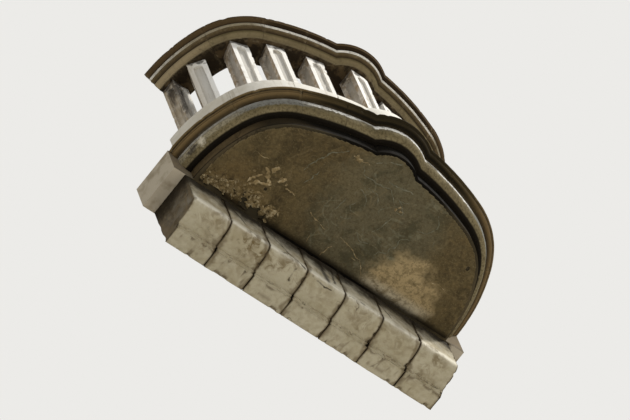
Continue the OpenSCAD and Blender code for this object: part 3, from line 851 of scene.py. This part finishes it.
# Cracks and soot on the lintel, each as (start, end, width), and its brown hollows as (place along, amount)
LINTEL_STROKES = [((-0.318, -0.250, -0.200), (-0.240, -0.250, -0.290), 0.010),
                  ((-0.240, -0.250, -0.290), (-0.150, -0.246, -0.345), 0.010),
                  ((-0.100, -0.238, -0.360), (-0.028, -0.228, -0.370), 0.010),
                  ((-0.026, -0.226, -0.370), (0.017, -0.230, -0.366), 0.008),
                  ((0.130, -0.246, -0.345), (0.150, -0.250, -0.330), 0.008),
                  ((0.200, -0.250, -0.330), (0.222, -0.250, -0.333), 0.014),
                  ((-0.200, -0.225, -0.370), (-0.200, -0.160, -0.388), 0.008),
                  ((0.330, -0.250, -0.130), (0.400, -0.250, -0.280), 0.009),
                  ((-0.560, -0.250, -0.170), (-0.500, -0.250, -0.270), 0.009)]
SOOT_FLAMES = [((-0.020, -0.250, -0.130), (-0.006, -0.250, -0.315), 0.030),
               ((0.052, -0.250, -0.150), (0.044, -0.250, -0.300), 0.015)]
BROWN_HOLLOWS = [(-0.70, 0.5), (-0.43, 0.95), (-0.25, 0.7), (0.0, 0.3), (0.23, 0.6), (0.46, 0.4), (0.69, 0.7)]
LINTEL_PITCH, LINTEL_JOINT = 0.238, -0.135


def to_joint(f, along):
    """How far a place along the length is from the nearest joint of the lintel."""
    steps = calc(f.tree, "DIVIDE", calc(f.tree, "SUBTRACT", along, LINTEL_JOINT), LINTEL_PITCH)
    return calc(f.tree, "MULTIPLY", calc(f.tree, "PINGPONG", steps, 0.5), LINTEL_PITCH)


def lintel_finish():
    """Light beige lintel stones, darkened and sooty under the slab with painted shadow, with brown hollows,
    dark soft joints and cracks.
    """
    f = Finish("stained_lintel_stone", (204, 197, 177), (160, 149, 122), 0.9, 5.5)
    f.lay(f.patches(0.53, 0.66, 4.6, 5.0, 0.62, 0.6), (142, 126, 94), 0.5)
    curve, ridge = f.fall(f.height, -0.372, -0.346), f.band(f.height, -0.356, -0.342, -0.332, -0.290)
    f.lay(curve, (158, 148, 120), 0.65)
    f.lay(ridge, (236, 231, 214), 0.75)
    broken = f.patches(0.40, 0.58, 19.0, 5.0, 0.65, 0.8)
    for x, amount in BROWN_HOLLOWS:
        f.lay(f.both(f.near((x, -0.205, -0.37), 0.0, 0.13, 0.09, 13.0), broken), (104, 87, 56), amount)
    f.lay(f.mask(streaks, Density=24.0, Level=0.54), (124, 108, 82), 0.5)
    f.draw(SOOT_FLAMES, (72, 69, 64), 0.9)
    swayed = f.add(f.along, f.uneven(0.12, 9.0, 3.0))
    f.lay(f.fall(to_joint(f, swayed), 0.002, 0.022), (92, 76, 50), 0.6)
    f.lay(f.fall(to_joint(f, f.along), 0.003, 0.010), (64, 52, 35), 0.8)
    f.lay(f.mask(cracks, Size=4.2, Width=0.014, Spread=0.56), (70, 60, 45), 0.8, -1.5)
    f.draw(LINTEL_STROKES, (44, 36, 26), 0.95, -3.0)
    f.age((120, 106, 82), (110, 96, 74), 0.4, 0.6, grime_amount=0.0)
    # painted shadow with grime: darker towards the top, near-black under the slab
    ragged = f.add(f.height, between(f.tree, f.noise(13.0, 5.0, 0.65), 0.3, 0.7, -0.03, 0.03))
    f.lay(f.rise(ragged, -0.290, -0.130), (34, 28, 19), 0.96)
    f.lay(f.both(f.kept("joint"), f.fall(f.far, 0.795, 0.800)), (40, 33, 24), 0.9)
    return f.done(bump=0.5, pits=1.1)


def mortar_finish(name, stone, stain):
    """Sandy mortar with fine cracks."""
    f = Finish(name, stone, stain, 0.9, 5.0)
    f.lay(f.mask(cracks, Size=4.0, Width=0.015, Spread=0.5), (60, 52, 40), 0.8)
    return f.done(bump=0.5, pits=0.6)


def crust_finish(name, stone, stain, bright):
    """Mineral crust or a loose flake, brighter in spots."""
    f = Finish(name, stone, stain, 0.9, 22.0)
    f.lay(f.patches(0.5, 0.62, 45.0), bright, 0.6)
    return f.done(bump=0.5)


rail_stone = rail_finish()
plinth_stone = plinth_finish()
pale_baluster = baluster_finish()
edge_stone = edge_finish()
slab_stone = slab_finish()
soffit_plaster = soffit_finish()
stained_lintel = lintel_finish()
floor_mortar = mortar_finish("grey_floor_mortar", (172, 164, 148), (116, 106, 88))
joint_mortar = mortar_finish("dark_joint_mortar", (104, 90, 68), (62, 52, 38))
beige_crust = crust_finish("beige_mineral_crust", (146, 127, 91), (95, 80, 53), (188, 171, 136))
grey_crust = crust_finish("grey_tide_crust", (108, 105, 86), (88, 84, 66), (130, 128, 109))
loose_plaster = crust_finish("loose_plaster", (128, 111, 78), (70, 58, 38), (182, 166, 132))


# ---- stones ----

seeds = itertools.count(1)


def dress(stone, node, wear, material, slot, bites=()):
    """Wears a stone with a seed of its own and lets it stand for its node."""
    weather(stone, next(seeds), **wear, bites=bites)
    finish_piece(stone, f"worn_{node}", material, slot, node)


# How far the arrises, chips and faces are worn, in metres, and how strong a noise must be to chip
RUN_WEAR = {"wear": 0.0012, "chip": 0.005, "wave": 0.0008, "chip_level": 0.38}
BALUSTER_WEAR = {"wear": 0.002, "chip": 0.005, "wave": 0.0008, "chip_level": 0.36}
LINTEL_WEAR = {"wear": 0.003, "chip": 0.012, "wave": 0.003, "chip_level": 0.20}
# Bites out of the slab's edge, each as (x, y, z, reach, depth)
EDGE_BITES = [(-0.874, -0.342, 0.0, 0.026, 0.007), (0.30, -0.915, 0.006, 0.026, 0.007),
              (0.885, -0.36, 0.0, 0.03, 0.008), (-0.24, -0.955, 0.085, 0.02, 0.006)]
RUNS = {"edge_stone": (EDGE_OUTER, EDGE_INNER, edge_stone, "edge_stone", True, EDGE_BITES),
        "plinth": (PLINTH_OUTER, PLINTH_INNER, plinth_stone, "plinth_stone", False, ()),
        "rail": (RAIL_OUTER, RAIL_INNER, rail_stone, "rail_stone", False, ())}
for run, (outer, inner, material, slot, follow, bites) in RUNS.items():
    for arc in ARCS:
        for side in ("left", "right"):
            stone = swept_stone(outer, inner, arc)
            if side == "right":
                to_the_right(stone)
            dress(stone, f"{run}_{arc}_{side}", RUN_WEAR, material, slot, bites)
    dress(middle_stone(outer, inner, follow), f"{run}_middle", RUN_WEAR, material, slot, bites)

row = ["baluster_middle", "wall_baluster_left", "wall_baluster_right"]
row += [f"baluster_{side}_{i}" for side in ("left", "right") for i in range(1, 5)]
for node in row:
    channelled_sides = (True, True, not node.startswith("wall"), True)
    dress(baluster_stone(node, channelled_sides), node, BALUSTER_WEAR, pale_baluster, "baluster_stone")

for node in [f"lintel_stone_{i}" for i in range(1, 8)]:
    dress(lintel_stone(node), node, LINTEL_WEAR, stained_lintel, "lintel_stone")
finish_piece(lintel_joints(), "lintel_joint_mortar", joint_mortar, "lintel_stone")


# ---- soffit ----

def edge_depth(x, y):
    """How far a point of the plan lies inside the slab's edge."""
    p = Vector((-abs(x), y, 0.0))
    depths = []
    for centre, radius, start, end in list(ARCS.values()) + [(middle_c, middle_r, FRONT_ANGLE, 90.0)]:
        away = p - centre
        turn = math.degrees(math.atan2(-away.y, -away.x))
        if start - 0.5 <= turn <= end + 0.5:
            depths.append(radius - away.length)
    inside = min(depths) if depths else 0.3
    return max(inside, LOBE_R - (p - lobe_c).length)


def loose_share(x, y):
    """1 where the plaster is coming off, along the back on the left, and 0 elsewhere."""
    return smooth_step(0.16, 0.04, WALL_FACE - y) * smooth_step(-0.25, -0.45, x) * smooth_step(-0.86, -0.78, x)


def plaster_drop(p):
    """How far the plaster's face lies under the slab."""
    flat = Vector((p.x, p.y, 0.0))
    swell = noise.fractal(flat * 7.0, 0.9, 2.0, 3)
    return 0.0045 + 0.0015 * (0.5 + 0.5 * noise.noise(flat * 24.0)) + 0.002 * smooth_step(0.1, 0.5, swell)


SHEET_LENGTH, SHEET_DEPTH = 1.70, 0.69


def soffit_plaster_sheet():
    """Thin plaster under the slab, broken away and curled along the back on the left."""
    bm = bmesh.new()
    bmesh.ops.create_grid(bm, x_segments=242, y_segments=98, size=0.5)
    bmesh.ops.scale(bm, vec=(SHEET_LENGTH, SHEET_DEPTH, 1.0), verts=bm.verts)
    bmesh.ops.translate(bm, vec=(0.0, WALL_FACE - SHEET_DEPTH / 2, Z_SOFFIT), verts=bm.verts)
    worn = bm.verts.layers.float.new("worn")
    gone = []
    for v in bm.verts:
        p = v.co.copy()
        depth = edge_depth(p.x, p.y) - EDGE_BACK
        field = noise.fractal(Vector((p.x * 13.0 + 4.2, p.y * 17.0 + 1.3, 0.0)), 0.9, 2.1, 4)
        loose = loose_share(p.x, p.y)
        left = field + 0.95 - 0.75 * loose
        if depth < 0.007 + 0.003 * field or WALL_FACE - p.y < 0.003 or left < 0.0:
            gone.append(v)
            continue
        rim = smooth_step(0.22, 0.0, left)
        v[worn] = max(rim, smooth_step(0.016, 0.008, depth))
        v.co.z -= plaster_drop(p) + 0.012 * rim * loose * (0.6 + 0.4 * noise.noise(p * 30.0))
    bmesh.ops.delete(bm, geom=gone, context="VERTS")
    bmesh.ops.delete(bm, geom=[v for v in bm.verts if not v.link_faces], context="VERTS")
    rims = [v for v in bm.verts if v.is_boundary]
    for _ in range(3):
        bmesh.ops.smooth_vert(bm, verts=rims, factor=0.5, use_axis_x=True, use_axis_y=True, use_axis_z=False)
    made = bmesh.ops.extrude_face_region(bm, geom=bm.faces[:])["geom"]
    for v in made:
        if isinstance(v, bmesh.types.BMVert):
            v.co.z = Z_SOFFIT - 0.0002
    bmesh.ops.recalc_face_normals(bm, faces=bm.faces)
    return bm


def cling_place(dice, homes, clear):
    """A random place in one of the homes, each (x, y, half width, half depth), and clear of the back."""
    x, y, wide, deep = dice.choice(homes)
    return x + dice.uniform(-wide, wide), min(y + dice.uniform(-deep, deep), WALL_FACE - clear)


CLOD_HOMES = ([(-0.665, -0.305, 0.050, 0.028)] * 4 + [(-0.735, -0.288, 0.040, 0.014)] * 2
              + [(-0.53, -0.33, 0.09, 0.042)] * 5 + [(-0.385, -0.315, 0.035, 0.030)] * 3
              + [(-0.43, -0.485, 0.035, 0.018), (-0.19, -0.783, 0.022, 0.007)])
FLAKE_HOMES = ([(-0.66, -0.30, 0.12, 0.030)] * 5 + [(-0.46, -0.31, 0.13, 0.045)] * 4
               + [(-0.52, -0.43, 0.08, 0.06), (-0.185, -0.783, 0.022, 0.008), (0.14, -0.69, 0.02, 0.015)])


def plaster_clods():
    """Flat crusty clods that cling to the soffit along the back, and a few further out."""
    dice = random.Random(5)
    bm = bmesh.new()
    for _ in range(150):
        x, y = cling_place(dice, CLOD_HOMES, 0.016)
        size, turn = dice.uniform(0.0035, 0.0105), dice.uniform(0.0, 2 * math.pi)
        clod = bmesh.ops.create_icosphere(bm, subdivisions=2, radius=1.0)["verts"]
        shift = Vector((x * 50.0, y * 50.0, size * 900.0))
        for v in clod:
            rough = size * (1.0 + 0.6 * noise.noise(v.co * 1.6 + shift))
            v.co = Vector((1.5 * v.co.x, v.co.y, 0.45 * v.co.z)) * rough
        bmesh.ops.rotate(bm, verts=clod, cent=(0, 0, 0), matrix=Matrix.Rotation(turn, 3, "Z"))
        bmesh.ops.translate(bm, verts=clod, vec=(x, y, Z_SOFFIT - plaster_drop(Vector((x, y, 0.0)))))
    bmesh.ops.recalc_face_normals(bm, faces=bm.faces)
    return bm


def curled_flakes():
    """Loose flakes that hang by one side where the plaster comes off."""
    dice = random.Random(17)
    bm = bmesh.new()
    for _ in range(40):
        x, y = cling_place(dice, FLAKE_HOMES, 0.014)
        size, ratio, curl, turn = (dice.uniform(low, high) for low, high in (
            (0.004, 0.011), (0.4, 0.9), (0.15, 0.6), (0.0, 2 * math.pi)))
        flake = bmesh.ops.create_grid(bm, x_segments=5, y_segments=4, size=0.5)["verts"]
        for v in flake:
            u, w = v.co.x + 0.5, v.co.y
            w *= ratio * (1.0 - 0.5 * u * u) * (1.0 + 0.35 * noise.noise(Vector((u * 3.0, x * 90.0, w * 3.0))))
            bend = curl * u * u
            v.co = Vector(((u - 0.2) * size * 2, w * size * 2, -bend * size - 0.0015 * abs(w)))
        bmesh.ops.rotate(bm, verts=flake, cent=(0, 0, 0), matrix=Matrix.Rotation(turn, 3, "Z"))
        level = Z_SOFFIT - plaster_drop(Vector((x, y, 0.0))) - 0.0005
        bmesh.ops.translate(bm, verts=flake, vec=(x, y, level))
    bmesh.ops.recalc_face_normals(bm, faces=bm.faces)
    bmesh.ops.solidify(bm, geom=bm.faces[:], thickness=0.0014)
    bmesh.ops.recalc_face_normals(bm, faces=bm.faces)
    return bm


# Raised crust on the soffit, each vein as its half width and its places of the plan, all in millimetres:
# beige along the back, grey elsewhere
BEIGE_VEINS = [(3.2, [(-209, -428), (-182, -419), (-150, -412)]),
               (1.8, [(-150, -412), (-123, -403), (-84, -395)]),
               (2.2, [(0, -407), (48, -394), (96, -381), (132, -360), (163, -360)]),
               (2.2, [(116, -349), (142, -347)]), (2, [(159, -358), (186, -331), (220, -289)]),
               (3, [(-22, -271), (-23, -296), (-7, -345)]), (2, [(-127, -292), (-130, -328)]),
               (4, [(-214, -782), (-187, -783), (-166, -780)]),
               (2.6, [(-166, -780), (-143, -789), (-116, -789)]),
               (10.5, [(-571, -386), (-558, -428), (-534, -460)]),
               (12.5, [(-564, -377), (-532, -411), (-495, -422), (-459, -436)]),
               (11, [(-542, -499), (-512, -478), (-491, -451), (-461, -438)]),
               (15, [(-497, -489), (-496, -512), (-482, -534)]),
               (13, [(-440, -467), (-433, -485), (-415, -503)]),
               (4.5, [(-390, -464), (-358, -462), (-326, -459)]),
               (11, [(-409, -297), (-402, -321), (-380, -336), (-350, -322)]),
               (3, [(-621, -541), (-590, -534), (-557, -543)]),
               (5.5, [(-689, -294), (-667, -308), (-653, -331), (-626, -356)]),
               (4.5, [(-706, -283), (-663, -278), (-635, -276), (-637, -295)]),
               (4, [(-777, -290), (-750, -288), (-726, -283)]),
               (4, [(-578, -286), (-568, -307), (-540, -305)]),
               (3, [(-546, -354), (-514, -355), (-488, -373), (-453, -369)]),
               (3.4, [(-499, -311), (-467, -312), (-449, -331)]), (3, [(140, -664), (135, -680)]),
               (1.8, [(470, -400), (520, -450), (585, -470), (640, -450)])]
GREY_VEINS = [(2, [(-376, -588), (-372, -624), (-355, -662), (-330, -705), (-317, -738), (-284, -763),
                  (-248, -793)]), (1.6, [(-334, -535), (-313, -576), (-315, -594), (-307, -626)]),
              (1.6, [(-139, -771), (-107, -732), (-62, -734), (-26, -731), (2, -736), (43, -743),
                  (81, -720), (111, -692)]), (1.4, [(-51, -687), (1, -688), (31, -667), (44, -642)]),
              (1.6, [(-78, -663), (-32, -646), (-7, -615), (-1, -591)]),
              (1.2, [(-116, -503), (-111, -546), (-103, -586)]),
              (1.3, [(-43, -544), (-65, -563), (-50, -594)]), (1.8, [(-69, -493), (-34, -499), (-22, -517)]),
              (1.4, [(92, -599), (70, -618), (90, -652), (104, -667)]),
              (1.6, [(111, -517), (136, -553), (140, -597), (152, -624)]),
              (1.8, [(14, -771), (79, -773), (125, -783), (174, -788)]), (1.4, [(-101, -816), (-75, -833)]),
              (1.6, [(-44, -860), (-15, -866), (19, -882)]),
              (1.6, [(140, -664), (180, -664), (156, -702), (122, -720), (151, -725), (176, -735)]),
              (1.4, [(54, -472), (91, -442), (137, -452)]),
              (1.4, [(199, -417), (211, -450), (250, -463), (242, -496), (263, -509), (261, -559),
                  (313, -587)]), (1.5, [(300, -640), (352, -660), (372, -710), (340, -765)])]


def smooth_path(points, step):
    """A smooth line through places of the plan, with a point about every step."""
    path = []
    for i in range(len(points) - 1):
        a, b, c, d = (points[max(0, min(len(points) - 1, j))] for j in (i - 1, i, i + 1, i + 2))
        count = max(2, round((c - b).length / step))
        for k in range(count):
            t = k / count
            path.append(0.5 * (2 * b + (c - a) * t + (2 * a - 5 * b + 4 * c - d) * t * t
                               + (3 * b - a - 3 * c + d) * t * t * t))
    return path + [points[-1]]


def soffit_veins(veins, swell=1.0):
    """Mineral crust along the cracks: a flat ring drawn along each vein."""
    bm = bmesh.new()
    for half, points in veins:
        path = smooth_path([Vector((x / 1000, y / 1000, 0.0)) for x, y in points], 0.006)
        rings = []
        for i, p in enumerate(path):
            along = (path[min(i + 1, len(path) - 1)] - path[max(i - 1, 0)]).normalized()
            across = Vector((-along.y, along.x, 0.0))
            taper = math.sin(math.pi * (i + 0.6) / (len(path) + 0.2)) ** 0.5
            p = p + across * (0.006 * noise.noise(p * 45.0) + 0.003 * noise.noise(p * 130.0))
            wide = swell * half / 1000 * taper * max(0.15, 0.9 + 1.3 * noise.noise(p * 70.0))
            level, thick = Z_SOFFIT - plaster_drop(p), min(0.6 * wide, 0.0035)
            rings.append([p + across * (wide * math.cos(a)) + (level - thick * math.sin(a)) * UP
                          for a in (math.radians(30 + 60 * k) for k in range(6))])
        ring = first_ring(bm, rings[0])
        for places in rings[1:]:
            ring = extrude_ring(bm, ring, places)
    close_ends(bm)
    return bm


finish_piece(soffit_plaster_sheet(), "soffit_plaster", soffit_plaster, "slab_stone")
finish_piece(curled_flakes(), "loose_plaster_flakes", loose_plaster, "slab_stone", crease=60.0)
finish_piece(plaster_clods(), "crusty_plaster_clods", loose_plaster, "slab_stone", crease=60.0)
finish_piece(soffit_veins(BEIGE_VEINS), "beige_soffit_veins", beige_crust, "slab_stone", crease=80.0)
finish_piece(soffit_veins(GREY_VEINS, 1.9), "grey_soffit_veins", grey_crust, "slab_stone", crease=80.0)
for node, material in (("slab", slab_stone), ("floor_bed", floor_mortar)):
    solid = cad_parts[node]
    solid.data.materials.clear()
    solid.data.materials.append(material)


# ---- stage, light and camera ----

def pale_floor_paint():
    """Matt paint that shows only from above, so that the soffit stays in view from below."""
    paint = bpy.data.materials.new("pale_floor")
    paint.use_nodes = True
    tree = paint.node_tree
    shader = tree.nodes["Principled BSDF"]
    fill(tree, shader, {"Base Color": tint(228, 226, 222), "Roughness": 0.9})
    below = put(tree, "ShaderNodeNewGeometry").outputs["Backfacing"]
    clear = put(tree, "ShaderNodeBsdfTransparent").outputs[0]
    shown = put(tree, "ShaderNodeMixShader", {0: below, 1: shader.outputs[0], 2: clear}).outputs[0]
    fill(tree, tree.nodes["Material Output"], {"Surface": shown})
    return paint


def studio_world():
    """Even soft light, with a pale backdrop for whatever looks straight at it."""
    world = bpy.data.worlds.new("studio")
    world.use_nodes = True
    tree = world.node_tree
    glow = tree.nodes["Background"]
    fill(tree, glow, {"Color": (0.96, 0.98, 1.0, 1.0), "Strength": 0.47})
    pale = put(tree, "ShaderNodeBackground", {"Color": tint(236, 235, 232), "Strength": 1.0}).outputs[0]
    path = put(tree, "ShaderNodeLightPath").outputs
    seen = calc(tree, "MAXIMUM", path["Is Camera Ray"], path["Is Glossy Ray"])
    seen = calc(tree, "MAXIMUM", seen, path["Is Transmission Ray"])
    shown = put(tree, "ShaderNodeMixShader", {0: seen, 1: glow.outputs[0], 2: pale}).outputs[0]
    fill(tree, tree.nodes["World Output"], {"Surface": shown})
    return world


FLOOR_HALF, FLOOR_LEVEL = 14.0, -1.2
floor_bm = bmesh.new()
bmesh.ops.create_grid(floor_bm, x_segments=1, y_segments=1, size=FLOOR_HALF)
bmesh.ops.translate(floor_bm, vec=(0.0, 0.0, FLOOR_LEVEL), verts=floor_bm.verts)
floor_mesh = bpy.data.meshes.new("floor")
floor_bm.to_mesh(floor_mesh)
floor_bm.free()
floor_mesh.materials.append(pale_floor_paint())
floor = placed("floor", floor_mesh)
bpy.context.scene.world = studio_world()

key = bpy.data.lights.new("soft_key", "SUN")
key.energy = 3.25
key.angle = math.radians(6.0)
key.color = (1.0, 0.98, 0.945)
lamp = placed("soft_key", key)
lamp.rotation_mode = "QUATERNION"
lamp.rotation_quaternion = Vector((0.472, -0.637, 0.61)).to_track_quat("Z", "Y")

# The photograph's camera: its place, its right, up and back as solved, and the point that it is aimed at
CAMERA_PLACE = Vector((-15.991, -9.892, -34.693))
RIGHT = Vector((0.7895360, -0.5981003, -0.1375101))
TOP = Vector((-0.4982598, -0.7555294, 0.4253382))
BACK = Vector((-0.3582878, -0.2673040, -0.8945269))
AIM = Vector((-0.002, -0.335, 0.325))
lens = bpy.data.cameras.new("photo_view")
lens.sensor_width, lens.lens = 36.0, 462.0
lens.clip_start, lens.clip_end = 1.0, 400.0
camera = placed("photo_view", lens)
to_aim = (-BACK).rotation_difference(AIM - CAMERA_PLACE)
camera.matrix_world = Matrix([to_aim @ axis for axis in (RIGHT, TOP, BACK)]).transposed().to_4x4()
camera.location = CAMERA_PLACE
bpy.context.scene.camera = camera
bpy.context.scene.view_settings.view_transform = "Standard"
